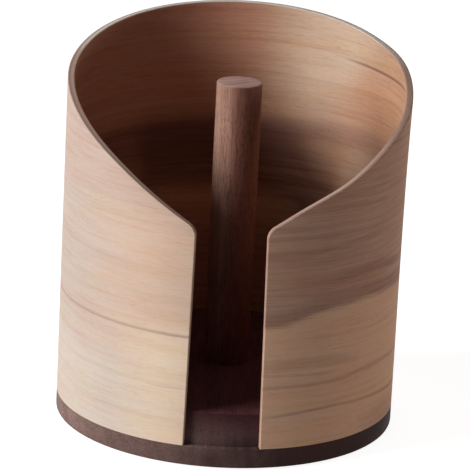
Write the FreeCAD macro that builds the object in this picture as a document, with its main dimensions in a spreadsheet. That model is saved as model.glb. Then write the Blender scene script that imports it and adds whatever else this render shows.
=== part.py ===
import FreeCAD, Part
import math
import os
import Sketcher

# A holder for spare toilet rolls. A turned walnut base carries a thin shell of bent plywood, open at the
# front in a slot, and a dowel in the middle that the rolls drop over.
# Each piece is drawn in its own frame, in millimetres with +Z up, and then set on the piece that carries it.
# The ground is at Z = 0, under the pads, the dowel stands on the Z axis and the slot faces -Y.

SIZES = {
    "shell_diameter": 150.0,
    "shell_back_height": 162.0,
    "shell_front_height": 97.0,
    "slot_foot_width": 33.4,
    "slot_head_width": 31.0,
    "slot_corner_radius": 6.0,
    "face_veneer_thickness": 0.6,
    "core_ply_thickness": 1.7,
    "glue_line": 0.05,
    "base_rim_height": 9.0,
    "base_edge_radius": 1.5,
    "plug_height": 15.0,
    "plug_chamfer": 0.6,
    "dowel_diameter": 20.0,
    "dowel_height": 128.0,
    "dowel_edge_radius": 0.9,
    "dowel_shoulder_width": 3.0,
    "tenon_length": 12.0,
    "tenon_chamfer": 0.8,
    "tenon_clearance": 0.1,
    "tenon_relief": 0.5,
    "screw_diameter": 4.0,
    "screw_length": 35.0,
    "screw_tip_length": 5.0,
    "screw_head_diameter": 8.0,
    "screw_sink_depth": 0.5,
    "screw_hole_clearance": 0.25,
    "screw_pilot_clearance": 0.05,
    "screw_pilot_relief": 1.0,
    "recess_span": 4.4,
    "recess_width": 0.9,
    "recess_depth": 1.6,
    "pad_diameter": 12.0,
    "pad_thickness": 1.0,
    "pad_circle_diameter": 116.0,
}
PAD_COUNT = 4
CORNER_STEPS = 20
EDGE_MATCH_SHARE = 1e-6

doc = FreeCAD.newDocument("toilet_roll_holder")
sheet = doc.addObject("Spreadsheet::Sheet", "sizes")
for row, (alias, length) in enumerate(SIZES.items(), start=1):
    sheet.set(f"A{row}", alias)
    sheet.set(f"B{row}", str(length))
    sheet.setAlias(f"B{row}", alias)
doc.recompute()


class Measure:
    """A length worked out from the sheet: its number now, and the expression that keeps it bound."""

    def __init__(self, number, text):
        self.number = number
        self.text = text

    def __add__(self, other):
        return Measure(self.number + other.number, f"({self.text} + {other.text})")

    def __sub__(self, other):
        return Measure(self.number - other.number, f"({self.text} - {other.text})")

    def __mul__(self, factor):
        return Measure(self.number * factor, f"({self.text} * {factor})")

    def __truediv__(self, count):
        return Measure(self.number / count, f"({self.text} / {count})")


def size(alias):
    return Measure(sheet.get(alias), f"{sheet.Name}.{alias}")


def bind(item, setting, measure):
    item.setExpression(setting, measure.text)


def origin_plane(body, role):
    return next(feature for feature in body.Origin.OriginFeatures if feature.Role == role)


NONE = Measure(0.0, "0")
ACROSS, UP = -1, -2
START, END = 1, 2

# Sizes that pieces share
shell_radius = size("shell_diameter") / 2
core_radius = shell_radius - size("face_veneer_thickness") - size("glue_line")
lining_radius = core_radius - size("core_ply_thickness") - size("glue_line")
well_radius = lining_radius - size("face_veneer_thickness")
base_height = size("base_rim_height") + size("plug_height")
dowel_radius = size("dowel_diameter") / 2
tenon_radius = dowel_radius - size("dowel_shoulder_width")
screw_radius = size("screw_diameter") / 2
head_radius = size("screw_head_diameter") / 2
ledge_level = size("pad_thickness") + size("base_rim_height")
tenon_level = size("pad_thickness") + base_height - size("tenon_length")
screw_level = size("pad_thickness") + size("screw_sink_depth")


# Turned pieces

def half_profile(body, corners):
    """A closed outline beside the axis, each corner held by its distance from the axis and its height."""
    sketch = body.newObject("Sketcher::SketchObject", body.Name + "_profile")
    sketch.AttachmentSupport = (origin_plane(body, "XZ_Plane"), [""])
    sketch.MapMode = "FlatFace"
    points = [FreeCAD.Vector(out.number, high.number, 0) for out, high in corners]
    for start, end in zip(points, points[1:] + points[:1]):
        sketch.addGeometry(Part.LineSegment(start, end))
    for line in range(len(corners)):
        sketch.addConstraint(Sketcher.Constraint("Coincident", line, END, (line + 1) % len(corners), START))
    for line, (out, high) in enumerate(corners):
        for kind, axis, measure in (("DistanceX", UP, out), ("DistanceY", ACROSS, high)):
            if measure is NONE:
                sketch.addConstraint(Sketcher.Constraint("PointOnObject", line, START, axis))
                continue
            distance = Sketcher.Constraint(kind, ACROSS, START, line, START, measure.number)
            bind(sketch, f"Constraints[{sketch.addConstraint(distance)}]", measure)
    return sketch


def turned(label, corners):
    """A body turned about its Z axis from a half profile."""
    body = doc.addObject("PartDesign::Body", label)
    sketch = half_profile(body, corners)
    turning = body.newObject("PartDesign::Revolution", label + "_turning")
    turning.Profile = sketch
    turning.ReferenceAxis = (sketch, ["V_Axis"])
    turning.Angle = 360
    doc.recompute()
    return body


def ease(body, kind, setting, amount, out, high):
    """Round or bevel the turned edge at the given distance from the axis and height."""
    reach = EDGE_MATCH_SHARE * size("shell_diameter").number
    solid = body.Tip
    for number, edge in enumerate(solid.Shape.Edges, start=1):
        ring = edge.Curve
        if not isinstance(ring, Part.Circle):
            continue
        if abs(ring.Radius - out.number) < reach and abs(ring.Center.z - high.number) < reach:
            break
    else:
        raise ValueError(f"{body.Label} has no turned edge there")
    easing = body.newObject("PartDesign::" + kind, f"{body.Name}_{kind.lower()}")
    easing.Base = (solid, [f"Edge{number}"])
    bind(easing, setting, amount)
    doc.recompute()


def base_disc():
    """The walnut disc: a rim under the shell, a plug inside its foot, a socket and a screw hole."""
    hole = screw_radius + size("screw_hole_clearance")
    mouth = head_radius + size("screw_hole_clearance")
    plug = well_radius - size("glue_line")
    socket = tenon_radius + size("tenon_clearance")
    socket_floor = base_height - size("tenon_length") - size("tenon_relief")
    rim = size("base_rim_height")
    sink = size("screw_sink_depth")
    body = turned("base_disc", [
        (mouth, NONE), (shell_radius, NONE), (shell_radius, rim), (plug, rim), (plug, base_height),
        (socket, base_height), (socket, socket_floor), (hole, socket_floor), (hole, sink + mouth - hole),
        (mouth, sink),
    ])
    ease(body, "Fillet", "Radius", size("base_edge_radius"), shell_radius, NONE)
    ease(body, "Chamfer", "Size", size("plug_chamfer"), plug, base_height)
    bind(body, "Placement.Base.z", size("pad_thickness"))
    return body


def dowel():
    """The post: a tenon glued in the base's socket, a shoulder on the floor and a softened top."""
    top = size("tenon_length") + size("dowel_height")
    pilot = screw_radius + size("screw_pilot_clearance")
    pilot_top = screw_level + size("screw_length") + size("screw_pilot_relief") - tenon_level
    body = turned("dowel", [
        (pilot, NONE), (tenon_radius, NONE), (tenon_radius, size("tenon_length")),
        (dowel_radius, size("tenon_length")), (dowel_radius, top), (NONE, top), (NONE, pilot_top),
        (pilot, pilot_top),
    ])
    ease(body, "Fillet", "Radius", size("dowel_edge_radius"), dowel_radius, top)
    ease(body, "Chamfer", "Size", size("tenon_chamfer"), tenon_radius, NONE)
    bind(body, "Placement.Base.z", tenon_level)
    return body


def dowel_screw():
    """The countersunk wood screw that draws the dowel down on to the base, with a cross recess."""
    body = turned("dowel_screw", [
        (NONE, NONE), (head_radius, NONE), (screw_radius, head_radius - screw_radius),
        (screw_radius, size("screw_length") - size("screw_tip_length")), (NONE, size("screw_length")),
    ])
    arm = body.newObject("Sketcher::SketchObject", "recess_arm")
    arm.AttachmentSupport = (origin_plane(body, "XY_Plane"), [""])
    arm.MapMode = "FlatFace"
    long, wide = size("recess_span"), size("recess_width")
    sides = ((-1, -1), (1, -1), (1, 1), (-1, 1))
    corners = [FreeCAD.Vector(x * long.number / 2, y * wide.number / 2, 0) for x, y in sides]
    for start, end in zip(corners, corners[1:] + corners[:1]):
        arm.addGeometry(Part.LineSegment(start, end))
    for line, lies in enumerate(("Horizontal", "Vertical", "Horizontal", "Vertical")):
        arm.addConstraint(Sketcher.Constraint("Coincident", line, END, (line + 1) % len(corners), START))
        arm.addConstraint(Sketcher.Constraint(lies, line))
    arm.addConstraint(Sketcher.Constraint("Symmetric", 0, START, 1, END, ACROSS, START))
    for kind, line, measure in (("DistanceX", 0, long), ("DistanceY", 1, wide)):
        length = Sketcher.Constraint(kind, line, START, line, END, measure.number)
        bind(arm, f"Constraints[{arm.addConstraint(length)}]", measure)
    whole = body.Shape.Volume
    cut = body.newObject("PartDesign::Pocket", "recess_cut")
    cut.Profile = arm
    cut.Reversed = True
    bind(cut, "Length", size("recess_depth"))
    doc.recompute()
    cross = body.newObject("PartDesign::PolarPattern", "recess_cross")
    cross.Originals = [cut]
    cross.Axis = (arm, ["N_Axis"])
    cross.Angle = 90
    cross.Occurrences = 2
    body.Tip = cross
    doc.recompute()
    if body.Shape.Volume >= whole:
        raise ValueError("the recess cuts nothing")
    bind(body, "Placement.Base.z", screw_level)
    return body


# The shell

def slot_corner(slot_foot, slot_head, rim_slope, rim_level):
    """Where a round corner of the blank leaves the slot's edge, its tangents cross, and it meets the rim."""
    run = (slot_head - slot_foot) / size("shell_front_height").number
    slot_way = FreeCAD.Vector(run, 1, 0).normalize()
    meets = slot_head + size("slot_corner_radius").number
    for _ in range(CORNER_STEPS):
        rim_way = FreeCAD.Vector(1, rim_slope(meets), 0).normalize()
        level = rim_level(meets) - rim_slope(meets) * meets
        across = (slot_foot + run * level) / (1 - run * rim_slope(meets))
        crossing = FreeCAD.Vector(across, level + rim_slope(meets) * across, 0)
        half_turn = slot_way.getAngle(rim_way) / 2
        reach = size("slot_corner_radius").number * math.tan(half_turn)
        meets = crossing.x + reach * rim_way.x
    return crossing - slot_way * reach, crossing, crossing + rim_way * reach, math.cos(half_turn)


def blank_outline():
    """The flat blank's edges, each as its poles and the weight of the middle one.

    A pole is a distance round the outside from the slot's middle, and a height. The rim is one parabola,
    highest at the middle of the back, and the slot widens towards its foot.
    """
    back, front = size("shell_back_height").number, size("shell_front_height").number
    foot, head = size("slot_foot_width").number / 2, size("slot_head_width").number / 2
    middle = math.pi * shell_radius.number
    fall = (back - front) / (middle - head) ** 2

    def rim_level(along):
        return back - fall * (middle - along) ** 2

    def rim_slope(along):
        return 2 * fall * (middle - along)

    leaves, crossing, meets, weight = slot_corner(foot, head, rim_slope, rim_level)
    crown = rim_level(meets.x) + rim_slope(meets.x) * (middle - meets.x)
    half = [
        ([(foot, 0), (leaves.x, leaves.y)], 1),
        ([(leaves.x, leaves.y), (crossing.x, crossing.y), (meets.x, meets.y)], weight),
    ]
    rim = [([(meets.x, meets.y), (middle, crown), (2 * middle - meets.x, meets.y)], 1)]
    other = [([(2 * middle - x, y) for x, y in reversed(poles)], bend) for poles, bend in reversed(half)]
    return half + rim + other + [([(2 * middle - foot, 0), (foot, 0)], 1)]


def wrapped_face(radius):
    """The blank wrapped on a cylinder, its side edges square to the sheet at every radius."""
    roller = Part.Cylinder()
    roller.Radius = radius
    edges = []
    for poles, bend in blank_outline():
        turns = [FreeCAD.Base.Vector2d(x / shell_radius.number, y) for x, y in poles]
        if len(turns) == 2:
            edges.append(Part.Geom2d.Line2dSegment(*turns).toShape(roller))
            continue
        curve = Part.Geom2d.BezierCurve2d()
        curve.setPoles(turns)
        curve.setWeight(2, bend)
        edges.append(curve.toShape(roller))
    face = Part.Face(roller, Part.Wire(edges))
    face.validate()
    return face


def ply(label, outside, thickness):
    """One layer of the shell: the wrapped blank, thickened inwards and stood on the base's ledge."""
    face = doc.addObject("Part::Feature", label + "_face")
    face.Shape = wrapped_face(outside.number)
    layer = doc.addObject("Part::Offset", label)
    layer.Source = face
    layer.Fill = True
    layer.setExpression("Value", f"-{thickness.text}")
    layer.Placement = FreeCAD.Placement(FreeCAD.Vector(), FreeCAD.Rotation(FreeCAD.Vector(0, 0, 1), -90))
    bind(layer, "Placement.Base.z", ledge_level)
    doc.recompute()
    return layer


# The pads

def base_pads():
    """Round non-slip pads under the base, evenly spaced round a circle."""
    pads = []
    for place in range(PAD_COUNT):
        pad = doc.addObject("Part::Cylinder", f"pad_{place + 1}")
        bind(pad, "Radius", size("pad_diameter") / 2)
        bind(pad, "Height", size("pad_thickness"))
        turn = 2 * math.pi * (place + 0.5) / PAD_COUNT
        bind(pad, "Placement.Base.x", size("pad_circle_diameter") / 2 * math.cos(turn))
        bind(pad, "Placement.Base.y", size("pad_circle_diameter") / 2 * math.sin(turn))
        pads.append(pad)
    group = doc.addObject("Part::Compound", "base_pads")
    group.Links = pads
    doc.recompute()
    return group


nodes = [
    base_disc(),
    dowel(),
    dowel_screw(),
    ply("outer_veneer", shell_radius, size("face_veneer_thickness")),
    ply("core_ply", core_radius, size("core_ply_thickness")),
    ply("inner_veneer", lining_radius, size("face_veneer_thickness")),
    base_pads(),
]
doc.recompute()

for item in doc.Objects:
    if {"Invalid", "Error"} & set(item.State):
        raise RuntimeError(f"{item.Label} failed: {item.State}")
for node in nodes:
    if node.Shape.isNull() or not node.Shape.isValid():
        raise RuntimeError(f"{node.Label} has no sound shape")

os.makedirs("parts", exist_ok=True)
for node in nodes:
    node.Shape.exportStep(os.path.join("parts", node.Label + ".step"))
    print(f"{node.Label}: {len(node.Shape.Solids)} solid, {node.Shape.Volume / 1000:.2f} cubic centimetres")
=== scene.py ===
"""Looks of a toilet roll storage holder.

A walnut base and post, and a shell of bent veneer with a sloping rim and a slot down the front. Sizes are in
millimetres until a mesh is made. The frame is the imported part's: Z up, the slot towards -Y, the ground at 0.
"""

import logging
import math
from dataclasses import dataclass, field
from enum import Enum
from typing import Optional, Sequence, Union

import bmesh
import bpy
from mathutils import Matrix, Vector


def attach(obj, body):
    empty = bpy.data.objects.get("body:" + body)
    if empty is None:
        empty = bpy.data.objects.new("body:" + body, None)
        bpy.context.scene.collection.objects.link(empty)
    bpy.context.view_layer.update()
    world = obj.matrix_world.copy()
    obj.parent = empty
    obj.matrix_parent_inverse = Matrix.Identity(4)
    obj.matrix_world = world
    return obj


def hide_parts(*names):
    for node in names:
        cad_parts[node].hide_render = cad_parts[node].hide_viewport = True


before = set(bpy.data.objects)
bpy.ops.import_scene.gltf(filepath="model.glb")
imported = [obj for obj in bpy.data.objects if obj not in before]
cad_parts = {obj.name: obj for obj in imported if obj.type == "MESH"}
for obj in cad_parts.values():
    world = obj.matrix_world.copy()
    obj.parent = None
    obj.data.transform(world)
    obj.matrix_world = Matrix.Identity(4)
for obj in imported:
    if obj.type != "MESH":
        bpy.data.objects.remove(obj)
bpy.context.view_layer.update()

log = logging.getLogger("roll_holder")

MM = 0.001
PICTURE_PIXELS = 470
BODY = "root"
SHARP_EDGE = math.radians(32)
LINE_REACH = 340.0
LINE_TALL = 200.0
MIX_FIRST, MIX_SECOND, MIX_RESULT = 6, 7, 2

Colour = tuple[float, float, float, float]
Point = tuple[float, float]
Name = Union[str, int]


def wood(red: float, green: float, blue: float) -> Colour:
    """Returns an opaque colour in linear light."""
    return (red, green, blue, 1.0)


def smooth_rise(value: float, low: float, high: float) -> float:
    """Returns 0 below a level and 1 above another, with a smooth rise between."""
    share = min(1.0, max(0.0, (value - low) / (high - low)))
    return share * share * (3 - 2 * share)


def hump(value: float, start: Point, end: Point) -> float:
    """Returns 1 between two stretches, with a smooth rise over the first and a fall over the second."""
    return smooth_rise(value, *start) * (1 - smooth_rise(value, *end))


def show(item: bpy.types.Object) -> None:
    """Puts an object in the scene."""
    bpy.context.scene.collection.objects.link(item)


# Shader nodes

class Signal:
    """A number that varies over a surface, so that sums of node outputs read as plain arithmetic."""

    def __init__(self, bench: "Bench", socket: bpy.types.NodeSocket) -> None:
        """Keeps the bench that makes the nodes and the socket that gives the number."""
        self.bench = bench
        self.socket = socket

    def __add__(self, other: "Feed") -> "Signal":
        """Returns the sum."""
        return self.bench.sum_of("ADD", self, other)

    def __sub__(self, other: "Feed") -> "Signal":
        """Returns the difference."""
        return self.bench.sum_of("SUBTRACT", self, other)

    def __mul__(self, other: "Feed") -> "Signal":
        """Returns the product."""
        return self.bench.sum_of("MULTIPLY", self, other)

    def flipped(self) -> "Signal":
        """Returns one less the number."""
        return self.bench.sum_of("SUBTRACT", 1.0, self)


Feed = Union[Signal, float]
Paint = Union[bpy.types.NodeSocket, Colour]


def feed(tree: bpy.types.NodeTree, socket: bpy.types.NodeSocket, value: Union[Feed, Paint]) -> None:
    """Links a signal or another socket to an input, or sets the input's own value.

    Args:
        tree: The nodes that the input belongs to.
        socket: The input to fill.
        value: What fills it.
    """
    source = value.socket if isinstance(value, Signal) else value
    if isinstance(source, bpy.types.NodeSocket):
        tree.links.new(source, socket)
    else:
        socket.default_value = source


def add_node(tree: bpy.types.NodeTree, kind: str, output: Name, inputs: dict[Name, Union[Feed, Paint]],
             **settings: str) -> bpy.types.NodeSocket:
    """Adds a shader node.

    Args:
        tree: The nodes to add to.
        kind: The kind of node.
        output: Which of its outputs to give back.
        inputs: What fills each of its inputs.
        settings: Its own settings.

    Returns:
        The output.
    """
    node = tree.nodes.new(kind)
    for name, value in settings.items():
        setattr(node, name, value)
    for name, value in inputs.items():
        feed(tree, node.inputs[name], value)
    return node.outputs[output]


class Bench:
    """A material in the making: adds shader nodes and links them."""

    def __init__(self, name: str) -> None:
        """Starts a material that has one principled shader.

        Args:
            name: What the material is called.
        """
        self.material = bpy.data.materials.new(name)
        self.material.use_nodes = True
        self.tree = self.material.node_tree
        self.shader = self.tree.nodes["Principled BSDF"]
        self.spot = self.tree.nodes.new("ShaderNodeTexCoord")

    def sum_of(self, operation: str, first: Feed, second: Feed = 0.0) -> Signal:
        """Returns two numbers, combined in the way that the math node names."""
        result = add_node(self.tree, "ShaderNodeMath", 0, {0: first, 1: second}, operation=operation)
        return Signal(self, result)

    def split(self, socket: bpy.types.NodeSocket) -> list[Signal]:
        """Returns the three parts of a vector."""
        node = self.tree.nodes.new("ShaderNodeSeparateXYZ")
        self.tree.links.new(socket, node.inputs[0])
        return [Signal(self, part) for part in node.outputs]

    def place(self) -> list[Signal]:
        """Returns the surface point in the part's frame, in millimetres."""
        return [part * (1 / MM) for part in self.split(self.spot.outputs["Object"])]

    def facing(self) -> list[Signal]:
        """Returns the way that the surface faces, in the part's frame."""
        return self.split(self.spot.outputs["Normal"])

    def rise(self, value: Feed, low: Feed, high: Feed) -> Signal:
        """Returns 0 below a level and 1 above another, with a smooth rise between."""
        return Signal(self, add_node(
            self.tree, "ShaderNodeMapRange", "Result", {"Value": value, "From Min": low, "From Max": high},
            interpolation_type="SMOOTHSTEP"))

    def noise(self, where: Sequence[Feed], lengths: Sequence[float], detail: float = 2.0,
              roughness: float = 0.5) -> Signal:
        """Makes soft cloudy noise, drawn out along each direction.

        Args:
            where: The three parts of the point to read.
            lengths: How long a cloud is along each of them, in millimetres.
            detail: How many finer layers are added.
            roughness: How strong the finer layers are.

        Returns:
            A share around 0.5.
        """
        spot = add_node(self.tree, "ShaderNodeCombineXYZ", 0, {
            place: part * (1 / length) for place, (part, length) in enumerate(zip(where, lengths))})
        return Signal(self, add_node(self.tree, "ShaderNodeTexNoise", "Fac", {
            "Vector": spot, "Scale": 1.0, "Detail": detail, "Roughness": roughness}))

    def follow(self, along: Signal, line: Sequence[Point]) -> Signal:
        """Reads the height of a smooth line on the sheet.

        Args:
            along: How far round the shell to read it, in millimetres.
            line: Points of the line, each its way round the shell and its height, in millimetres.

        Returns:
            The line's height in millimetres.
        """
        node = self.tree.nodes.new("ShaderNodeFloatCurve")
        curve = node.mapping.curves[0]
        spots = [((way + LINE_REACH) / (2 * LINE_REACH), height / LINE_TALL) for way, height in line]
        curve.points[0].location, curve.points[1].location = spots[0], spots[-1]
        for spot in spots[1:-1]:
            curve.points.new(*spot)
        node.mapping.update()
        feed(self.tree, node.inputs["Value"], (along + LINE_REACH) * (0.5 / LINE_REACH))
        return Signal(self, node.outputs[0]) * LINE_TALL

    def mix(self, share: Feed, first: Paint, second: Paint, blend: str = "MIX") -> bpy.types.NodeSocket:
        """Returns two colours with a share of the second, blended in the way that the mix node names."""
        return add_node(
            self.tree, "ShaderNodeMix", MIX_RESULT, {"Factor": share, MIX_FIRST: first, MIX_SECOND: second},
            data_type="RGBA", blend_type=blend)

    def tint(self, share: Feed, colour: Paint, glaze: Colour) -> bpy.types.NodeSocket:
        """Returns a colour under a share of a clear glaze, which lets its own share of the light through."""
        return self.mix(share, colour, glaze, "MULTIPLY")

    def raise_grain(self, height: Signal, depth: float) -> None:
        """Lets the light catch a relief in the surface, so many millimetres deep."""
        relief = add_node(self.tree, "ShaderNodeBump", "Normal",
                          {"Strength": 1.0, "Distance": depth * MM, "Height": height})
        feed(self.tree, self.shader.inputs["Normal"], relief)

    def dress(self, colour: Paint, grain: Signal, dull: Point, gloss: Feed) -> bpy.types.Material:
        """Sets the shader's colour and shine.

        Args:
            colour: The colour of the surface.
            grain: The noise that the dullness of its shine follows.
            dull: How dull its shine is at least, and how much the noise adds.
            gloss: How strong its shine is.

        Returns:
            The finished material.
        """
        roughness = grain * dull[1] + dull[0]
        for name, value in (("Base Color", colour), ("Roughness", roughness), ("Specular IOR Level", gloss)):
            feed(self.tree, self.shader.inputs[name], value)
        return self.material


# Finishes

@dataclass(frozen=True)
class Streak:
    """A stripe of another tone in a veneer, along its grain; some are painted light or painted shade. Lengths
    are in millimetres.

    Attributes:
        line: Points that it follows, each its way round the outside from the middle of the back, to the
            right as seen from the front, and its height.
        foot: How softly its lower edge fades.
        body: How tall it is.
        head: How softly its upper edge fades.
        strength: How much of its tone there is.
        tone: Its colour.
        fade: How softly its two ends fade.
        ragged: How far its edges fray along the fibres.
    """

    line: tuple[Point, ...]
    foot: float
    body: float
    head: float
    strength: float
    tone: Colour
    fade: float
    ragged: float = 0.0

    def cover(self, bench: Bench, along: Signal, height: Signal, fray: Signal) -> Signal:
        """Says how much of the streak is at a point of the sheet.

        Args:
            bench: The material in the making.
            along: How far round the shell the point is, in millimetres.
            height: How high it is, in millimetres.
            fray: Fine noise around 0 that runs with the fibres.

        Returns:
            A share from 0 to the streak's strength.
        """
        start, end = self.line[0][0], self.line[-1][0]
        above = height + fray * self.ragged - bench.follow(along, self.line)
        risen = bench.rise(above, -self.foot, 0.0)
        ended = bench.rise(above, self.body, self.body + self.head).flipped()
        begun = bench.rise(along, start, start + self.fade)
        gone = bench.rise(along, end - self.fade, end).flipped()
        return risen * ended * begun * gone * self.strength


@dataclass(frozen=True)
class Layer:
    """A layer of noise in a veneer. Its clouds are so long round the shell and so tall, in millimetres."""

    seed: float
    length: float
    tall: float
    detail: float = 2.0
    roughness: float = 0.5


@dataclass(frozen=True)
class Veneer:
    """A face veneer of the shell, with its grain round the shell.

    Attributes:
        name: What the finish is called.
        left: The tone of the sheet's left end, as seen from the front.
        right: The tone of its right end.
        radius: The radius that it is bent to, in millimetres.
        seed: Which part of the noise it shows.
        turn: Where the left tone gives way to the right one, from and to, in millimetres round the shell.
        figure: How strong its fine grain is.
        grip: How unevenly its fibres take the tone of its streaks.
        streaks: Its stripes of other tones, painted light and painted shade among them.
    """

    BLUSH = wood(1.0, 0.915, 0.90)
    HONEY = wood(1.0, 0.98, 0.86)
    GRAIN = wood(0.85, 0.765, 0.71)
    PORE = wood(0.60, 0.47, 0.41)
    WAVES = Layer(0, 110, 40)
    CLOUDS = Layer(11, 48, 11, 3)
    GLOW = Layer(17, 38, 8, 3)
    DRIFTS = Layer(5, 120, 5.5)
    BANDS = Layer(23, 75, 2.1, 3, 0.55)
    LINES = Layer(31, 17, 0.62, 3, 0.55)
    FIBRES = Layer(43, 5, 0.4)
    DASHES = Layer(57, 3.4, 0.42, 1)
    PATCHES = Layer(61, 26, 8)
    WAVE_TALL = 3.0
    BORDER_SWAY = 60.0
    GRIP_SPAN = (0.36, 0.64)
    GRIP_MOST = 1.1
    DASH_SPAN = (0.60, 0.70)
    PATCH_SPAN = (0.42, 0.65)
    PORE_SHARE = 0.25
    RELIEF = 0.035
    DULL = (0.5, 0.2)
    GLOSS = 0.05

    name: str
    left: Colour
    right: Colour
    radius: float
    seed: float
    turn: Point
    figure: float
    grip: float
    streaks: tuple[Streak, ...]

    def read(self, bench: Bench, layer: Layer, along: Signal, height: Signal) -> Signal:
        """Returns one layer of noise at a point of the sheet, as a share around 0.5."""
        return bench.noise((along, height, self.seed + layer.seed), (layer.length, layer.tall, 1),
                           layer.detail, layer.roughness)

    def make(self) -> bpy.types.Material:
        """Returns the veneer's material."""
        bench = Bench(self.name)
        across, deep, up = bench.place()
        along = bench.sum_of("ARCTAN2", across, deep) * self.radius
        height = up + (self.read(bench, self.WAVES, along, up) - 0.5) * self.WAVE_TALL
        clouds, glow, drifts, bands, lines, fibres, dashes, patches = (
            self.read(bench, layer, along, height) for layer in (
                self.CLOUDS, self.GLOW, self.DRIFTS, self.BANDS,
                self.LINES, self.FIBRES, self.DASHES, self.PATCHES))

        turned = bench.rise(along + (clouds - 0.5) * self.BORDER_SWAY, *self.turn)
        tone = bench.mix(turned, self.left, self.right)
        uneven = bench.rise(lines * 0.4 + bands * 0.6, *self.GRIP_SPAN)
        grip = uneven * self.grip + (self.GRIP_MOST - self.grip / 2)
        for streak in self.streaks:
            cover = streak.cover(bench, along, height, lines - 0.5)
            tone = bench.mix(cover * grip, tone, streak.tone)
        for noise, low, high, share, glaze in (
                (clouds, 0.42, 0.68, 0.70, self.BLUSH), (glow, 0.42, 0.68, 0.50, self.HONEY),
                (drifts, 0.44, 0.70, 0.30 * self.figure, self.GRAIN),
                (bands, 0.46, 0.74, 0.45 * self.figure, self.GRAIN),
                (lines, 0.46, 0.76, 0.55 * self.figure, self.GRAIN),
                (fibres, 0.45, 0.78, 0.45 * self.figure, self.GRAIN)):
            tone = bench.tint(bench.rise(noise, low, high) * share, tone, glaze)
        pores = bench.rise(dashes, *self.DASH_SPAN) * bench.rise(patches, *self.PATCH_SPAN)
        tone = bench.tint(pores * (self.PORE_SHARE * self.figure), tone, self.PORE)

        bench.raise_grain((fibres * 0.5 + lines * 0.5) - pores * 0.6, self.RELIEF)
        return bench.dress(tone, lines, self.DULL, self.GLOSS)


@dataclass(frozen=True)
class PlyEdge:
    """The edge of a ply after sanding, where its fibres are cut across.

    Attributes:
        name: What the finish is called.
        front: Its tone at the front of the shell.
        sides: Its tone at the two sides.
        back: Its tone at the back.
        outside: The ply's outer radius, in millimetres.
        inside: Its inner radius, in millimetres.
        seed: Which part of the noise it shows.
    """

    BURNT = wood(0.62, 0.56, 0.53)
    FIBRE = wood(0.76, 0.70, 0.66)
    SIDE_REACH = (40.0, 68.0)
    BACK_REACH = (-4.0, 30.0)
    BACK_NARROWER = 19.0
    FIBRE_SIZE = (1.6, 1.6, 0.22)
    CLOUD_SIZE = (26, 26, 2.0)
    FIBRE_SPAN = (0.36, 0.66)
    FIBRE_SHARE = 0.8
    RELIEF = 0.03
    DULL = (0.35, 0.2)
    LEVEL_SPAN = (0.72, 1.0)
    LEVEL_GLOSS = 0.5
    GLOSS = 0.05

    name: str
    front: Colour
    sides: Colour
    back: Colour
    outside: float
    inside: float
    seed: float

    def make(self) -> bpy.types.Material:
        """Returns the edge's material. Where it faces up, it has a sheen."""
        bench = Bench(self.name)
        across, deep, up = bench.place()
        along = bench.sum_of("ARCTAN2", across, deep) * self.outside
        out = bench.sum_of("SQRT", across * across + deep * deep)
        fibres = bench.noise((along, up, out), self.FIBRE_SIZE, detail=3)
        clouds = bench.noise((along, up, out + self.seed), self.CLOUD_SIZE)
        behind = bench.rise(deep, *self.BACK_REACH)
        aside = bench.rise(bench.sum_of("ABSOLUTE", across) - behind * self.BACK_NARROWER, *self.SIDE_REACH)
        tone = bench.mix(aside, bench.mix(behind, self.front, self.back), self.sides)
        tone = bench.tint(bench.rise(out, self.inside, self.outside), tone, self.BURNT)
        shown = bench.rise(fibres * 0.6 + clouds * 0.4, *self.FIBRE_SPAN)
        tone = bench.tint(shown * self.FIBRE_SHARE, tone, self.FIBRE)
        bench.raise_grain(fibres, self.RELIEF)
        level = bench.rise(bench.facing()[2], *self.LEVEL_SPAN)
        return bench.dress(tone, fibres, self.DULL, level * self.LEVEL_GLOSS + self.GLOSS)


class Grain(Enum):
    """Which way a solid piece's grain runs: where a point has its along, across and remaining parts."""

    FRONT_TO_BACK = (1, 0, 2)
    UPRIGHT = (2, 0, 1)


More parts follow.
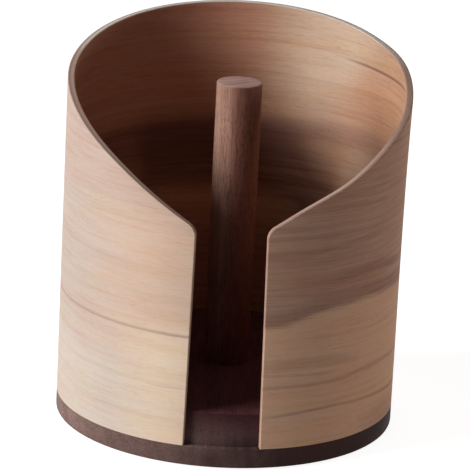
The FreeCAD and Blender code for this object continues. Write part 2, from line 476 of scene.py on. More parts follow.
@dataclass(frozen=True)
class Walnut:
    """Oiled solid walnut, cut through the same wood on every face. Lengths are in millimetres.

    Attributes:
        name: What the finish is called.
        grain: Which way its grain runs.
        light: Its light tone, which also paints the lit side.
        dark: Its dark tone, which also paints the shaded side.
        pore: The tone of its pores.
        pith: Where the middle of the tree was, across the grain.
        ring: The width of a year's growth.
        turn: Where the painted lit side gives way to the painted shaded side, from and to, across the grain.
        sway: How far that border wanders.
        end: Its tone where the grain is cut across.
        rings_and_painted_shade: The share of the light that its painted shade, and its rings on end grain,
            give back.
        painted_shade_span: The heights between which the painted shade begins.
        gloss: How strong its shine is.
        painted_shade_shift: How far the border of the painted lit and shaded sides moves in the painted shade.
        end_gloss: How much stronger its shine is where the grain is cut across.
        end_figure: How strongly the rings show there.
    """

    DRIFT_SIZE = (22, 22, 90)
    CLOUD_SIZE = (9, 9, 34)
    FIBRE_SIZE = (0.6, 0.6, 11)
    FLECK_SIZE = (0.5, 0.5, 2.2)
    PATCH_SIZE = (6, 6, 18)
    RING_SWAY = 9.0
    DARK_SPAN = (0.25, 1.0)
    FIBRE_SPAN = (0.42, 0.72)
    FLECK_SPAN = (0.54, 0.66)
    PATCH_SPAN = (0.32, 0.55)
    CUT_SPAN = (0.35, 1.0)
    RING_SPAN = (0.40, 0.62)
    PORE_SHARE = 0.45
    END_SHARE = 0.55
    RELIEF = 0.05
    DULL = (0.42, 0.25)

    name: str
    grain: Grain
    light: Colour
    dark: Colour
    pore: Colour
    pith: Point
    ring: float
    turn: Point
    sway: float
    end: Colour
    rings_and_painted_shade: Colour
    painted_shade_span: Point
    gloss: float
    painted_shade_shift: float = 0.0
    end_gloss: float = 0.0
    end_figure: float = 0.0

    def make(self) -> bpy.types.Material:
        """Returns the walnut's material."""
        bench = Bench(self.name)
        point = bench.place()
        along, across, third = (point[place] for place in self.grain.value)
        spot = (across, third, along)
        drift = bench.noise(spot, self.DRIFT_SIZE) - 0.5
        from_pith = across - self.pith[0]
        above_pith = third - self.pith[1]
        reach = bench.sum_of("SQRT", from_pith * from_pith + above_pith * above_pith)
        rings = bench.noise((reach + drift * self.RING_SWAY, drift, 0.0), (self.ring, 1, 1), detail=3)
        clouds = bench.noise(spot, self.CLOUD_SIZE)
        fibres = bench.noise(spot, self.FIBRE_SIZE, detail=3, roughness=0.6)
        flecks = bench.noise(spot, self.FLECK_SIZE, detail=1)
        patches = bench.noise(spot, self.PATCH_SIZE)

        # Painted shade: darker over a span of heights, in the well inside the shell and low on the post.
        painted_shade_share = bench.rise(point[2], *self.painted_shade_span)
        # Painted light and shade: one side takes the light tone, as if lit, and the other the dark tone, as if
        # shaded.
        side = bench.rise(across + drift * self.sway + painted_shade_share * self.painted_shade_shift, *self.turn)
        share = bench.rise(side * 0.7 + (rings * 0.55 + clouds * 0.45) * 0.9, *self.DARK_SPAN)
        tone = bench.mix(share, self.light, self.dark)
        tone = bench.mix(bench.rise(fibres, *self.FIBRE_SPAN) * self.PORE_SHARE, tone, self.pore)
        pores = bench.rise(flecks, *self.FLECK_SPAN) * bench.rise(patches, *self.PATCH_SPAN)
        tone = bench.mix(pores * self.PORE_SHARE, tone, self.pore)
        cut = bench.rise(bench.sum_of("ABSOLUTE", bench.facing()[self.grain.value[0]]), *self.CUT_SPAN)
        tone = bench.mix(cut * self.END_SHARE, tone, self.end)
        shown = bench.rise(rings * 0.6 + clouds * 0.4, *self.RING_SPAN)
        tone = bench.tint(cut * shown * self.end_figure, tone, self.rings_and_painted_shade)
        # The painted shade over those heights.
        tone = bench.tint(painted_shade_share, tone, self.rings_and_painted_shade)

        bench.raise_grain(fibres * 0.5 - pores, self.RELIEF)
        return bench.dress(tone, fibres, self.DULL, cut * self.end_gloss + self.gloss)


@dataclass(frozen=True)
class Zinc:
    """Bright zinc plate on steel, dull in places, with fine turning marks."""

    MARK_SIZE = (0.12, 0.12, 1)
    CLOUD_SIZE = (2.5, 2.5, 2.5)
    DULL_SPAN = (0.4, 0.7)
    RELIEF = 0.01
    DULL = (0.25, 0.25)
    GLOSS = 0.5

    name: str
    bright: Colour
    dull: Colour

    def make(self) -> bpy.types.Material:
        """Returns the plate's material."""
        bench = Bench(self.name)
        across, deep, up = bench.place()
        out = bench.sum_of("SQRT", across * across + deep * deep)
        marks = bench.noise((out, up, 0.0), self.MARK_SIZE)
        clouds = bench.noise((across, deep, up), self.CLOUD_SIZE, detail=3)
        bench.shader.inputs["Metallic"].default_value = 1.0
        bench.raise_grain(marks, self.RELIEF)
        tone = bench.mix(bench.rise(clouds, *self.DULL_SPAN), self.bright, self.dull)
        return bench.dress(tone, clouds, self.DULL, self.GLOSS)


@dataclass(frozen=True)
class Rubber:
    """Matt soft rubber with a fine moulded texture, where some dust clings."""

    TEXTURE_SIZE = (0.35, 0.35, 0.35)
    DUST_SIZE = (3.0, 3.0, 3.0)
    DUST_SPAN = (0.45, 0.75)
    DUST_SHARE = 0.5
    RELIEF = 0.04
    DULL = (0.7, 0.2)
    GLOSS = 0.2

    name: str
    clean: Colour
    dusty: Colour

    def make(self) -> bpy.types.Material:
        """Returns the rubber's material."""
        bench = Bench(self.name)
        point = bench.place()
        texture = bench.noise(point, self.TEXTURE_SIZE)
        dust = bench.rise(bench.noise(point, self.DUST_SIZE, detail=3), *self.DUST_SPAN)
        bench.raise_grain(texture, self.RELIEF)
        tone = bench.mix(dust * self.DUST_SHARE, self.clean, self.dusty)
        return bench.dress(tone, texture, self.DULL, self.GLOSS)


# Meshes

@dataclass(frozen=True)
class Corner:
    """A corner of a turned profile.

    Attributes:
        out: Its distance from the axis, in millimetres.
        up: Its height, in millimetres.
        ease: The radius that it is rounded to, in millimetres.
    """

    out: float
    up: float
    ease: float = 0.0

    def spot(self) -> Vector:
        """Returns the corner as a flat vector."""
        return Vector((self.out, self.up))


class Turning:
    """Pieces turned about upright axes, gathered in one mesh."""

    EASE_STEPS = 6

    def __init__(self, turns: int) -> None:
        """Starts an empty mesh, whose pieces have so many flats round them."""
        self.turns = turns
        self.shape = bmesh.new()

    def path(self, corners: Sequence[Corner]) -> list[Vector]:
        """Rounds the corners of a profile with true arcs.

        Args:
            corners: The profile's corners in order.

        Returns:
            The points along the rounded profile.
        """
        points = []
        for place, corner in enumerate(corners):
            here = corner.spot()
            if corner.ease == 0.0:
                points.append(here)
                continue
            back = (corners[place - 1].spot() - here).normalized()
            ahead = (corners[(place + 1) % len(corners)].spot() - here).normalized()
            half = back.angle(ahead) / 2
            middle = here + (back + ahead).normalized() * (corner.ease / math.sin(half))
            start = here + back * (corner.ease / math.tan(half)) - middle
            end = here + ahead * (corner.ease / math.tan(half)) - middle
            for step in range(self.EASE_STEPS + 1):
                points.append(middle + start.slerp(end, step / self.EASE_STEPS) * corner.ease)
        return points

    def add(self, corners: Sequence[Corner], centre: Point = (0.0, 0.0)) -> None:
        """Turns a closed profile about an upright axis. Corners on the axis become single points.

        Args:
            corners: The profile's corners in order.
            centre: Where the axis stands, in millimetres.
        """
        rings = []
        for spot in self.path(corners):
            count = self.turns if spot.x > 0 else 1
            rings.append([self.shape.verts.new((
                (centre[0] + spot.x * math.cos(math.tau * turn / count)) * MM,
                (centre[1] + spot.x * math.sin(math.tau * turn / count)) * MM,
                spot.y * MM)) for turn in range(count)])
        for low, high in zip(rings, rings[1:] + rings[:1]):
            if len(low) == len(high) == 1:
                continue
            for turn in range(self.turns):
                after = (turn + 1) % self.turns
                loop = [low[turn % len(low)], low[after % len(low)],
                        high[after % len(high)], high[turn % len(high)]]
                self.shape.faces.new(list(dict.fromkeys(loop)))


def make_piece(shape: bmesh.types.BMesh, name: str, finishes: Sequence[bpy.types.Material],
               node: str) -> bpy.types.Object:
    """Turns a mesh into a piece of the part that stands for one of its solids.

    Args:
        shape: The mesh, which is freed.
        name: What the piece is called.
        finishes: The materials that its faces use.
        node: The solid that it stands for.

    Returns:
        The piece, riding on the part's body.
    """
    bmesh.ops.recalc_face_normals(shape, faces=shape.faces)
    mesh = bpy.data.meshes.new(name)
    shape.to_mesh(mesh)
    shape.free()
    mesh.shade_smooth()
    mesh.set_sharp_from_angle(angle=SHARP_EDGE)
    for finish in finishes:
        mesh.materials.append(finish)
    piece = bpy.data.objects.new(name, mesh)
    show(piece)
    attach(piece, BODY)
    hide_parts(node)
    return piece


# Sub-assemblies

@dataclass
class Base:
    """The turned walnut base with the pads under it. Sizes are in millimetres."""

    radius: float = 75.0
    rim_height: float = 9.0
    edge_radius: float = 1.5
    plug_radius: float = 71.95
    plug_height: float = 15.0
    plug_ease: float = 0.6
    rim_ease: float = 0.35
    socket_radius: float = 7.1
    socket_depth: float = 12.5
    mouth_radius: float = 4.25
    hole_radius: float = 2.25
    sink_depth: float = 0.5
    small_ease: float = 0.3
    pad_radius: float = 6.0
    pad_thickness: float = 1.0
    pad_ease: float = 0.3
    pad_circle_radius: float = 58.0
    pad_count: int = 4
    turns: int = 240
    pad_turns: int = 64
    walnut: Walnut = Walnut(
        # Painted light on its left, where the light falls, and painted shade on its right.
        name="walnut_base", grain=Grain.FRONT_TO_BACK, light=wood(0.36, 0.228, 0.20),
        dark=wood(0.030, 0.016, 0.013), pore=wood(0.020, 0.011, 0.010), pith=(-260.0, -40.0), ring=5.5,
        # Painted shade from 8 mm up, on the ledge, the plug and the floor inside the shell; the painted lit
        # side reaches further right there.
        turn=(-34.0, 66.0), sway=30.0, end=wood(0.092, 0.050, 0.047), rings_and_painted_shade=wood(0.37, 0.22, 0.25),
        painted_shade_span=(8.0, 26.0), painted_shade_shift=-40.0, gloss=0.03)
    rubber: Rubber = Rubber("pad_rubber", clean=wood(0.030, 0.030, 0.031), dusty=wood(0.075, 0.073, 0.070))

    def build_disc(self) -> bpy.types.Object:
        """Returns the disc: a rim under the shell, a plug inside its foot, a socket and a screw hole."""
        under = self.pad_thickness
        ledge = under + self.rim_height
        floor = ledge + self.plug_height
        socket_floor = floor - self.socket_depth
        sink = under + self.sink_depth
        disc = Turning(self.turns)
        disc.add([
            Corner(self.mouth_radius, under, self.small_ease), Corner(self.radius, under, self.edge_radius),
            Corner(self.radius, ledge, self.rim_ease), Corner(self.plug_radius, ledge),
            Corner(self.plug_radius, floor, self.plug_ease),
            Corner(self.socket_radius, floor, self.small_ease),
            Corner(self.socket_radius, socket_floor), Corner(self.hole_radius, socket_floor),
            Corner(self.hole_radius, sink + self.mouth_radius - self.hole_radius),
            Corner(self.mouth_radius, sink),
        ])
        return make_piece(disc.shape, "base", [self.walnut.make()], "base_disc")

    def build_pads(self) -> bpy.types.Object:
        """Returns the pads, evenly spaced round a circle."""
        pads = Turning(self.pad_turns)
        for place in range(self.pad_count):
            turn = math.tau * (place + 0.5) / self.pad_count
            pads.add([
                Corner(0.0, 0.0), Corner(self.pad_radius, 0.0, self.pad_ease),
                Corner(self.pad_radius, self.pad_thickness), Corner(0.0, self.pad_thickness),
            ], (self.pad_circle_radius * math.cos(turn), self.pad_circle_radius * math.sin(turn)))
        return make_piece(pads.shape, "pads", [self.rubber.make()], "base_pads")

    def build(self) -> list[bpy.types.Object]:
        """Returns every piece of the base."""
        return [self.build_disc(), self.build_pads()]


@dataclass
class Post:
    """The walnut dowel that the rolls drop over, and the screw that holds it. Sizes are in millimetres."""

    radius: float = 10.0
    height: float = 128.0
    top_ease: float = 0.9
    foot_ease: float = 0.3
    floor_level: float = 25.0
    tenon_radius: float = 7.0
    tenon_length: float = 12.0
    tenon_ease: float = 0.8
    pilot_radius: float = 2.05
    pilot_top: float = 37.5
    turns: int = 128
    walnut: Walnut = Walnut(
        # Painted light on its left, where the light falls, and painted shade on its right.
        name="walnut_dowel", grain=Grain.UPRIGHT, light=wood(0.56, 0.335, 0.25),
        dark=wood(0.275, 0.115, 0.084), pore=wood(0.07, 0.026, 0.019), pith=(-34.0, 46.0), ring=3.2,
        # Painted shade down the post, from 120 mm down, full below 58 mm.
        turn=(-10.0, 6.0), sway=5.0, end=wood(0.78, 0.48, 0.40), rings_and_painted_shade=wood(0.62, 0.52, 0.55),
        painted_shade_span=(120.0, 58.0), gloss=0.05, end_gloss=0.2, end_figure=0.8)
    zinc: Zinc = Zinc("screw_zinc", bright=wood(0.66, 0.65, 0.62), dull=wood(0.46, 0.45, 0.42))

    def build_dowel(self) -> bpy.types.Object:
        """Returns the dowel: a tenon in the base, a shoulder on its floor and a softened top."""
        top = self.floor_level + self.height
        foot = self.floor_level - self.tenon_length
        dowel = Turning(self.turns)
        dowel.add([
            Corner(self.pilot_radius, foot), Corner(self.tenon_radius, foot, self.tenon_ease),
            Corner(self.tenon_radius, self.floor_level),
            Corner(self.radius, self.floor_level, self.foot_ease), Corner(self.radius, top, self.top_ease),
            Corner(0.0, top), Corner(0.0, self.pilot_top), Corner(self.pilot_radius, self.pilot_top),
        ])
        return make_piece(dowel.shape, "post", [self.walnut.make()], "dowel")

    def dress_screw(self) -> bpy.types.Object:
        """Returns the screw, whose solid stays, with its finish."""
        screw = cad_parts["dowel_screw"]
        screw.data.materials.clear()
        screw.data.materials.append(self.zinc.make())
        return screw

    def build(self) -> list[bpy.types.Object]:
        """Returns every piece of the post."""
        return [self.build_dowel(), self.dress_screw()]


@dataclass(frozen=True)
class Station:
    """A point on the edge of the flat blank.

    Attributes:
        along: Its distance round the outside from the slot's middle, in millimetres.
        up: Its height above the shell's foot, in millimetres.
        inward: The way into the sheet, square to the edge.
    """

    along: float
    up: float
    inward: Vector

    def inset(self, amount: float) -> Vector:
        """Returns the point that lies an amount in from the edge."""
        return Vector((self.along, self.up)) + self.inward * amount

    def mirrored(self, round_length: float) -> "Station":
        """Returns the same point on the other half of the blank."""
        return Station(round_length - self.along, self.up, Vector((-self.inward.x, self.inward.y)))


@dataclass
class Ply:
    """One layer of the shell.

    Attributes:
        piece: What the piece is called.
        node: The solid that it stands for.
        slot: The name of a material slot; not used.
        outside: Its outer radius, in millimetres.
        thickness: How thick it is, in millimetres.
        face: The finish of its two faces.
        edge: The finish of its cut edges, where they differ from its faces.
    """

    piece: str
    node: str
    slot: str
    outside: float
    thickness: float
    face: Union[Veneer, PlyEdge]
    edge: Optional[PlyEdge] = None


def shell_plies() -> list[Ply]:
    """Returns the three layers of the shell, from the outside in."""
    heart = wood(0.215, 0.116, 0.103)
    plum = wood(0.165, 0.078, 0.075)
    # Dark heartwood tone, also used for painted shade and a painted shadow on the inner face.
    heart_and_painted_shade = wood(0.15, 0.062, 0.048)
    sap = wood(0.715, 0.625, 0.545)
    warm = wood(0.82, 0.60, 0.465)
    gold = wood(0.86, 0.565, 0.40)
    rose = wood(0.59, 0.435, 0.375)
    rust = wood(0.62, 0.34, 0.215)
    cream = wood(0.825, 0.625, 0.475)
    line = wood(0.40, 0.235, 0.19)
    pale = wood(1.0, 0.795, 0.61)
    mauve = wood(0.21, 0.075, 0.115)
    band_foot = ((40, 60), (110, 69), (142, 72.4), (175, 73.4), (194, 71), (209, 67.2),
                 (218, 66), (330, 60))
    # Each streak: its line, foot, body, head, strength, tone, fade and, where it has one, its ragged edge.
    outer_face = Veneer(
        name="outer_veneer", left=wood(0.62, 0.515, 0.45), right=wood(0.68, 0.43, 0.305), radius=75.0,
        seed=4.0, turn=(-90.0, 110.0), figure=1.0, grip=0.36, streaks=(
            # Warmer, paler tone on the left flank towards the slot, partly painted light.
            Streak(((-330, 0), (-150, 0)), 1, 260, 10, 0.80, warm, 60),
            Streak(((-326, 0), (0, 0)), 1, 30, 36, 0.80, sap, 110, 3),
            # Painted light: a paler foot of the left flank next to the slot.
            Streak(((-330, 0), (-178, 0)), 1, 48, 26, 0.75, pale, 38, 3),
            Streak(((-300, 120), (-60, 132)), 26, 60, 10, 0.55, rose, 60, 4),
            Streak(((186, 0), (330, 0)), 1, 260, 10, 0.68, gold, 36),
            Streak(band_foot, 4, 62, 60, 0.42, heart, 60, 5),
            Streak(band_foot, 2, 1.2, 7, 0.30, plum, 70, 3),
            Streak(((100, 78), (138, 82.2), (157, 84.2), (172, 84.6), (196, 82)), 2.4, 0.5, 3.5, 0.30,
                   plum, 22, 2),
            Streak(((150, 99), (187, 98.4), (203, 97), (260, 97)), 1.6, 0.4, 2.4, 0.20, plum, 22, 2),
            Streak(((170, 104), (260, 103)), 1.2, 0.3, 2, 0.15, plum, 22, 2),
            Streak(((166, 45), (192, 46.8), (228, 46)), 4, 0.8, 4, 0.20, plum, 18, 3),
            Streak(((178, 41.5), (197, 42.2), (240, 43.8)), 1, 0.3, 1.2, 0.20, plum, 14, 1),
            Streak(((118, 38), (141, 38.7), (165, 39.2), (182, 37.6), (205, 37.4), (240, 36.6)), 1,
                   0.3, 1.6, 0.24, plum, 20, 1),
            Streak(((112, 21), (143, 23.7), (171, 25.3), (185, 26), (201, 25.2), (230, 22)), 0.8,
                   0.3, 1.4, 0.32, plum, 26, 1),
            Streak(((90, 10), (178, 9)), 4, 6, 9, 0.24, heart, 30, 3),
            Streak(((-300, 59), (-60, 59)), 0.6, 0.3, 1.4, 0.46, line, 80, 0.6),
            Streak(((-200, 87), (-160, 87.6), (-118, 91)), 1.6, 0.6, 2.6, 0.16, line, 25, 2),
            Streak(((-190, 97), (-140, 98)), 1.2, 0.4, 1.6, 0.12, line, 20, 2),
            Streak(((-240, 35), (-150, 36)), 1, 0.4, 1.4, 0.12, line, 30, 2),
        ))
    inner_face = Veneer(
        name="inner_veneer", left=wood(0.62, 0.305, 0.21), right=wood(0.63, 0.42, 0.29), radius=75.0,
        seed=83.0, turn=(-18.0, 54.0), figure=1.5, grip=0.16, streaks=(
            # Cream upper zone at the back right of the inner face, partly the veneer's tone and partly painted
            # light.
            Streak(((2, 129), (90, 129)), 19, 60, 10, 0.74, cream, 36, 4),
            Streak(((14, 66), (50, 80), (84, 104), (150, 104)), 26, 40, 30, 0.68, rust, 60, 8),
            # Painted shade: the lower part of the inner face is darker all round, down in the well.
            Streak(((-330, 0), (330, 0)), 10, 55, 30, 0.46, heart_and_painted_shade, 20, 3),
            Streak(((-330, 97), (-40, 102), (80, 104)), 10, 10, 9, 0.46, heart_and_painted_shade, 90, 1.5),
            # Painted shadow of the left flank on the inner face, right of the post, its edge falling to the
            # right.
            Streak(((-60, 91), (-10, 91), (24, 87), (40, 76), (66, 62)), 14, 13, 24, 0.72,
                   heart_and_painted_shade, 20, 3),
            Streak(((-330, 90), (6, 90)), 16, 12, 16, 0.12, heart_and_painted_shade, 40, 3),
            Streak(((-110, 108), (-39, 109), (12, 111.5), (39, 113.7), (77, 115.2), (120, 112)), 6, 5.5,
                   3, 0.19, mauve, 34, 2),
            Streak(((-40, 100), (110, 104)), 8, 10, 6, 0.04, mauve, 30, 3),
            # Painted light: a paler patch where the light falls on the inner face beside that shadow.
            Streak(((50, 99), (88, 103)), 7, 6, 10, 0.42, cream, 18, 3),
            Streak(((46, 152.4), (125, 149.5)), 0.5, 0.4, 1.2, 0.55, heart_and_painted_shade, 24, 0.8),
        ))
    # Pale tone at the back of the rim: sanded end grain, partly a painted highlight.
    sanded_and_painted_highlight = wood(0.98, 0.86, 0.78)
    inner_edge = PlyEdge("inner_edge", front=wood(0.72, 0.49, 0.41), sides=wood(0.82, 0.57, 0.46),
                         back=sanded_and_painted_highlight, outside=72.6, inside=72.0, seed=7.0)
    core_edge = PlyEdge("core_ply", front=wood(0.74, 0.50, 0.43), sides=wood(0.60, 0.375, 0.29),
                        back=sanded_and_painted_highlight, outside=74.35, inside=72.65, seed=19.0)
    return [
        Ply("shell_outer", "outer_veneer", "outer_face", 75.0, 0.6, outer_face),
        Ply("shell_core", "core_ply", "core", 74.35, 1.7, core_edge),
        Ply("shell_inner", "inner_veneer", "inner_face", 72.6, 0.6, inner_face, inner_edge),
    ]


@dataclass
class Shell:
    """The bent shell: a flat blank of three plies, wrapped round the base. Sizes are in millimetres."""

    radius: float = 75.0
    thickness: float = 3.0
    outer_ease: float = 0.35
    inner_ease: float = 0.35
    ease_steps: int = 8
    foot_level: float = 10.0
    back_height: float = 162.0
    front_height: float = 97.0
    slot_foot_width: float = 33.4
    slot_head_width: float = 31.0
    corner_radius: float = 6.0
    rim_steps: int = 220
    corner_steps: int = 10
    corner_rounds: int = 20
    slope_step: float = 0.01
    rows: int = 10
    slant_reach: float = 40.0
    right_sag: float = 2.8
    left_sag: float = -1.0
    sag_start: Point = (26.0, 60.0)
    sag_end: Point = (104.0, 148.0)
    right_spring: float = 1.0
    spring_start: Point = (70.0, 112.0)
    spring_end: Point = (128.0, 170.0)
    spring_foot: float = 40.0
    spring_tall: float = 100.0
    plies: list[Ply] = field(default_factory=shell_plies)

    def round_length(self) -> float:
        """Returns the length right round the outside."""
        return math.tau * self.radius

    def rim_fall(self) -> float:
        """Returns how fast the rim's parabola falls away from the middle of the back."""
        reach = self.round_length() / 2 - self.slot_head_width / 2
        return (self.back_height - self.front_height) / reach ** 2

    def rim_up(self, along: float, sag: float) -> float:
        """Returns the rim's height above the foot, where a flank sags so far below the rim's parabola."""
        fall = self.rim_fall() * (self.round_length() / 2 - along) ** 2
        return self.back_height - fall - sag * hump(along, self.sag_start, self.sag_end)

    def rim_way(self, along: float, sag: float) -> Vector:
        """Returns the way that the rim runs there, as a flat vector of length 1."""
        climb = self.rim_up(along + self.slope_step, sag) - self.rim_up(along - self.slope_step, sag)
        return Vector((2 * self.slope_step, climb)).normalized()

    def slot_way(self) -> Vector:
        """Returns the way that the slot's edge runs upwards."""
        lean = (self.slot_head_width - self.slot_foot_width) / 2
        return Vector((lean, self.front_height)).normalized()

    def corner_centre(self) -> tuple[Vector, float]:
        """Finds the middle of the arc that rounds the slot's top corner.

        Returns:
            The middle of the arc, and where round the outside the arc meets the rim.
        """
        slot = self.slot_way()
        square = Vector((slot.y, -slot.x))
        foot = Vector((self.slot_foot_width / 2, 0.0))
        meets = self.slot_head_width / 2 + self.corner_radius
        for _ in range(self.corner_rounds):
            rim = self.rim_way(meets, 0.0)
            below = Vector((rim.y, -rim.x))
            lane = foot + square * self.corner_radius
            spot = Vector((meets, self.rim_up(meets, 0.0))) + below * self.corner_radius
            lift = (spot - lane).dot(below) / slot.dot(below)
            centre = lane + slot * lift
            meets = (centre - below * self.corner_radius).x
        return centre, meets

    def half_edge(self, sag: float) -> tuple[list[Station], list[Station]]:
        """Draws half of the blank's edge, from the slot's foot to the middle of the back.

        Args:
            sag: How far the hand-cut flank sags, in millimetres.

        Returns:
            The stations up the slot's edge, and those along the corner and the rim after it.
        """
        slot = self.slot_way()
        square = Vector((slot.y, -slot.x))
        centre, meets = self.corner_centre()
        foot = Vector((self.slot_foot_width / 2, 0.0))
        leaves = centre - square * self.corner_radius
        side = []
        for row in range(self.rows + 1):
            spot = foot.lerp(leaves, row / self.rows)
            side.append(Station(spot.x, spot.y, square))
        rim = self.rim_way(meets, 0.0)
        last = Vector((-rim.y, rim.x))
        top = []
        for step in range(1, self.corner_steps + 1):
            spoke = (-square).slerp(last, step / self.corner_steps)
            spot = centre + spoke * self.corner_radius
            top.append(Station(spot.x, spot.y, -spoke))
        middle = self.round_length() / 2
        half_steps = self.rim_steps // 2
        for step in range(1, half_steps + 1):
            along = meets + (middle - meets) * step / half_steps
            rim = self.rim_way(along, sag)
            top.append(Station(along, self.rim_up(along, sag), Vector((rim.y, -rim.x))))
        return side, top

    def whole_edge(self) -> tuple[list[Station], int]:
        """Draws the blank's edge from the slot's right foot, over the rim, to its left foot.

        Returns:
            The stations, and how many of them at each end lie below the slot's corner.
        """
        side, top = self.half_edge(self.right_sag)
        left_side, left_top = self.half_edge(self.left_sag)
        left = [station.mirrored(self.round_length()) for station in reversed(left_side + left_top[:-1])]
        return side + top + left, len(side) - 1

    def spring(self, spot: Vector) -> float:
        """Returns how far the bent sheet springs out of round at a point of the blank."""
        free = max(0.0, spot.y - self.spring_foot) / self.spring_tall
        return self.right_spring * hump(spot.x, self.spring_start, self.spring_end) * free ** 3

    def wrap(self, spot: Vector, out: float) -> Vector:
        """Returns a point of the flat blank, bent round the shell so far from the axis, in metres."""
        turn, reach = spot.x / self.radius, out + self.spring(spot)
        return Vector((reach * math.sin(turn), -reach * math.cos(turn), self.foot_level + spot.y)) * MM

    def foot_along(self, head: Vector, lean: float, first: float) -> float:
        """Says where a column of the grid stands on the foot, so that columns near the slot lean with it.

        Args:
            head: The column's upper end.
            lean: How far the slot's edge leans.
            first: Where the column at the slot has its upper end.

        Returns:
            Its distance round the outside.
        """
        near = max(0.0, 1 - (head.x - first) / self.slant_reach)
        far = max(0.0, 1 - (self.round_length() - first - head.x) / self.slant_reach)
        return head.x + lean * (near ** 2 - far ** 2)

    def grid(self, shape: bmesh.types.BMesh, out: float, inset: float) -> list[list[bmesh.types.BMVert]]:
        """Lays one face of a ply as a grid of points.

        Args:
            shape: The mesh to add to.
            out: The face's radius, in millimetres.
            inset: How far in from the sheet's edge the face ends, in millimetres.

        Returns:
            The grid's columns, each from the foot up.
        """
        edge, below = self.whole_edge()
        heads = edge[below:len(edge) - below]
        spots = [station.inset(inset) for station in heads]
        lean = edge[0].along - heads[0].along
        columns = []
        for spot in spots:
            foot = Vector((self.foot_along(spot, lean, spots[0].x), 0.0))
            columns.append([shape.verts.new(self.wrap(foot.lerp(spot, row / self.rows), out))
                            for row in range(self.rows + 1)])
        for left, right in zip(columns, columns[1:]):
            for row in range(self.rows):
                shape.faces.new((left[row], right[row], right[row + 1], left[row + 1]))
        return columns

    def inset_at(self, depth: float) -> float:
        """Returns how far in from the sheet's edge the rounded section lies at a depth below the outside."""
        within = min(self.thickness, max(0.0, depth))
        outer = max(0.0, self.outer_ease - within)
        inner = max(0.0, self.inner_ease - (self.thickness - within))
        return (self.outer_ease - math.sqrt(self.outer_ease ** 2 - outer ** 2)
                + self.inner_ease - math.sqrt(self.inner_ease ** 2 - inner ** 2))

    def section(self, ply: Ply) -> list[float]:
        """Picks the depths at which a ply's rounded edge has points.

        Args:
            ply: The layer.

        Returns:
            The depths below the shell's outside, from the ply's outer face to its inner face.
        """
        first = self.radius - ply.outside
        last = first + ply.thickness
        depths = [first, last]
        for step in range(self.ease_steps + 1):
            reach = 1 - math.cos(math.pi / 2 * step / self.ease_steps)
            depths += [self.outer_ease * reach, self.thickness - self.inner_ease * reach]
        return sorted(depth for depth in set(depths) if first <= depth <= last)

    def build_ply(self, ply: Ply) -> bpy.types.Object:
        """Makes one layer: two faces, and the cut edge between them.

        Args:
            ply: The layer.

        Returns:
            The piece.
        """
        shape = bmesh.new()
        depths = self.section(ply)
        outer, inner = (self.grid(shape, self.radius - depth, self.inset_at(depth))
                        for depth in (depths[0], depths[-1]))
        rims = [grid[0] + [column[-1] for column in grid[1:-1]] + list(reversed(grid[-1]))
                for grid in (outer, inner)]
        bands = []
        for place, station in enumerate(self.whole_edge()[0]):
            between = [shape.verts.new(self.wrap(station.inset(self.inset_at(depth)), self.radius - depth))
                       for depth in depths[1:-1]]
            bands.append([rims[0][place]] + between + [rims[1][place]])
        cut = []
        for band, after in zip(bands, bands[1:]):
            for step in range(len(band) - 1):
                cut.append(shape.faces.new((band[step], band[step + 1], after[step + 1], after[step])))
        for place in range(len(outer) - 1):
            cut.append(shape.faces.new(
                (outer[place][0], inner[place][0], inner[place + 1][0], outer[place + 1][0])))
        for end in (bands[0], bands[-1]):
            if len(end) > 2:
                cut.append(shape.faces.new(end))
        finishes = [finish.make() for finish in (ply.face, ply.edge) if finish]
        for face in cut:
            face.material_index = len(finishes) - 1
        return make_piece(shape, ply.piece, finishes, ply.node)

    def build(self) -> list[bpy.types.Object]:
        """Returns every ply of the shell."""
        return [self.build_ply(ply) for ply in self.plies]


# Studio

@dataclass
class Viewpoint:
    """The camera, at the photograph's angle. Lengths are in millimetres."""

    focal_pixels: float = 3496.0
    sensor: float = 36.0
    stand: tuple[float, float, float] = (0.0, -1478.47, 533.70)
    aim: tuple[float, float, float] = (0.0, 0.0, 83.0)
    aside: float = 1.33
    roll: float = math.radians(2.906)
    far: float = 50000.0

    def place(self) -> bpy.types.Object:
        """Returns the camera, set as the scene's."""
        stand = Vector(self.stand)
        ahead = (Vector(self.aim) - stand).normalized()
        right = ahead.cross(Vector((0.0, 0.0, 1.0))).normalized()
        ahead = (Vector(self.aim) + right * self.aside - stand).normalized()
        right = ahead.cross(Vector((0.0, 0.0, 1.0))).normalized()
        up = right.cross(ahead)
        tilted_right = right * math.cos(self.roll) + up * math.sin(self.roll)
        tilted_up = up * math.cos(self.roll) - right * math.sin(self.roll)
        lens = bpy.data.cameras.new("viewpoint")
        lens.sensor_width = self.sensor
        lens.lens = self.focal_pixels / PICTURE_PIXELS * self.sensor
        lens.clip_end = self.far * MM
        camera = bpy.data.objects.new("viewpoint", lens)
        turn = Matrix((tilted_right, tilted_up, -ahead)).transposed().to_4x4()
        camera.matrix_world = Matrix.Translation(stand * MM) @ turn
        show(camera)
        bpy.context.scene.camera = camera
        return camera


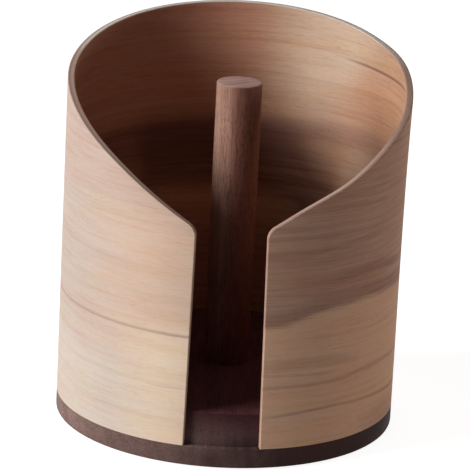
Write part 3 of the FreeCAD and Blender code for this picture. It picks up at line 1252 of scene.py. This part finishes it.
@dataclass(frozen=True)
class Lamp:
    """A soft studio lamp, aimed at the middle of the part.

    Attributes:
        name: What the lamp is called.
        azimuth: Where it stands round the part from the front, to the right, in degrees.
        elevation: How high it stands, in degrees.
        distance: How far it stands, in metres.
        width: How wide it is, in metres.
        tall: How tall it is, in metres.
        power: Its power in watts.
        colour: The colour of its light.
    """

    name: str
    azimuth: float
    elevation: float
    distance: float
    width: float
    tall: float
    power: float
    colour: tuple[float, float, float] = (1.0, 1.0, 1.0)

    def place(self, aim: Vector) -> bpy.types.Object:
        """Hangs the lamp.

        Args:
            aim: The point that it faces.

        Returns:
            The lamp.
        """
        round_part, up = math.radians(self.azimuth), math.radians(self.elevation)
        level = math.cos(up)
        way = Vector((math.sin(round_part) * level, -math.cos(round_part) * level, math.sin(up)))
        light = bpy.data.lights.new(self.name, "AREA")
        light.shape = "RECTANGLE"
        light.size = self.width
        light.size_y = self.tall
        light.energy = self.power
        light.color = self.colour
        lamp = bpy.data.objects.new(self.name, light)
        lamp.location = aim + way * self.distance
        lamp.rotation_euler = (-way).to_track_quat("-Z", "Y").to_euler()
        show(lamp)
        return lamp


@dataclass
class Studio:
    """A plain white floor, soft lamps and a pale sky."""

    floor_size: float = 8.0
    floor_cells: int = 8
    floor_colour: Colour = wood(0.78, 0.78, 0.78)
    floor_lift: float = 0.93
    sky_light: float = 0.03
    sky_colour: Colour = wood(1.0, 0.97, 0.94)
    white: Colour = wood(1.0, 1.0, 1.0)
    aim: tuple[float, float, float] = (0.0, 0.0, 0.09)
    lamps: tuple[Lamp, ...] = (
        Lamp("key", azimuth=-67.5, elevation=23.5, distance=1.7, width=0.85, tall=0.70, power=27.4),
        Lamp("fill", azimuth=92.0, elevation=0.5, distance=2.0, width=0.9, tall=0.14, power=11.0,
             colour=(1.0, 0.90, 0.80)),
    )

    def seen_share(self, tree: bpy.types.NodeTree) -> bpy.types.NodeSocket:
        """Says whether a ray comes from the camera or from a shiny or clear surface.

        Args:
            tree: The nodes to add to.

        Returns:
            1 for such a ray and 0 for any other.
        """
        path = tree.nodes.new("ShaderNodeLightPath")
        share = path.outputs["Is Camera Ray"]
        for ray in ("Is Glossy Ray", "Is Transmission Ray"):
            share = add_node(tree, "ShaderNodeMath", 0, {0: share, 1: path.outputs[ray]},
                             operation="MAXIMUM")
        return share

    def lay_floor(self) -> bpy.types.Object:
        """Returns the floor, which shows white but keeps the part's shadow."""
        shape = bmesh.new()
        bmesh.ops.create_grid(shape, x_segments=self.floor_cells, y_segments=self.floor_cells,
                              size=self.floor_size / 2)
        mesh = bpy.data.meshes.new("floor")
        shape.to_mesh(mesh)
        shape.free()
        paper = bpy.data.materials.new("floor_paper")
        paper.use_nodes = True
        tree = paper.node_tree
        tree.nodes.remove(tree.nodes["Principled BSDF"])
        matt = add_node(tree, "ShaderNodeBsdfDiffuse", 0, {"Color": self.floor_colour})
        lift = add_node(tree, "ShaderNodeMath", 0, {0: self.seen_share(tree), 1: self.floor_lift},
                        operation="MULTIPLY")
        glow = add_node(tree, "ShaderNodeEmission", 0, {"Color": self.white, "Strength": lift})
        both = add_node(tree, "ShaderNodeAddShader", 0, {0: matt, 1: glow})
        feed(tree, tree.nodes["Material Output"].inputs["Surface"], both)
        mesh.materials.append(paper)
        floor = bpy.data.objects.new("floor", mesh)
        show(floor)
        return floor

    def hang_sky(self) -> None:
        """Sets the world: white where it is seen, a soft light elsewhere."""
        world = bpy.data.worlds.new("sky")
        bpy.context.scene.world = world
        world.use_nodes = True
        tree = world.node_tree
        soft = tree.nodes["Background"]
        soft.inputs["Color"].default_value = self.sky_colour
        soft.inputs["Strength"].default_value = self.sky_light
        seen = add_node(tree, "ShaderNodeBackground", 0, {"Color": self.white})
        either = add_node(tree, "ShaderNodeMixShader", 0,
                          {0: self.seen_share(tree), 1: soft.outputs[0], 2: seen})
        feed(tree, tree.nodes["World Output"].inputs["Surface"], either)

    def build(self) -> list[bpy.types.Object]:
        """Returns the floor and the lamps, with the world set."""
        bpy.context.scene.view_settings.view_transform = "Standard"
        self.hang_sky()
        return [self.lay_floor()] + [lamp.place(Vector(self.aim)) for lamp in self.lamps]


def main() -> None:
    """Builds the part and its studio, and reports each piece."""
    logging.basicConfig(level=logging.INFO, format="%(name)s: %(message)s")
    log.info("camera: %s", Viewpoint().place().name)
    for assembly in (Base(), Post(), Shell()):
        for piece in assembly.build():
            log.info("%s: %s, %d faces", type(assembly).__name__, piece.name, len(piece.data.polygons))
    for item in Studio().build():
        log.info("studio: %s", item.name)


if __name__ == "__main__":
    main()
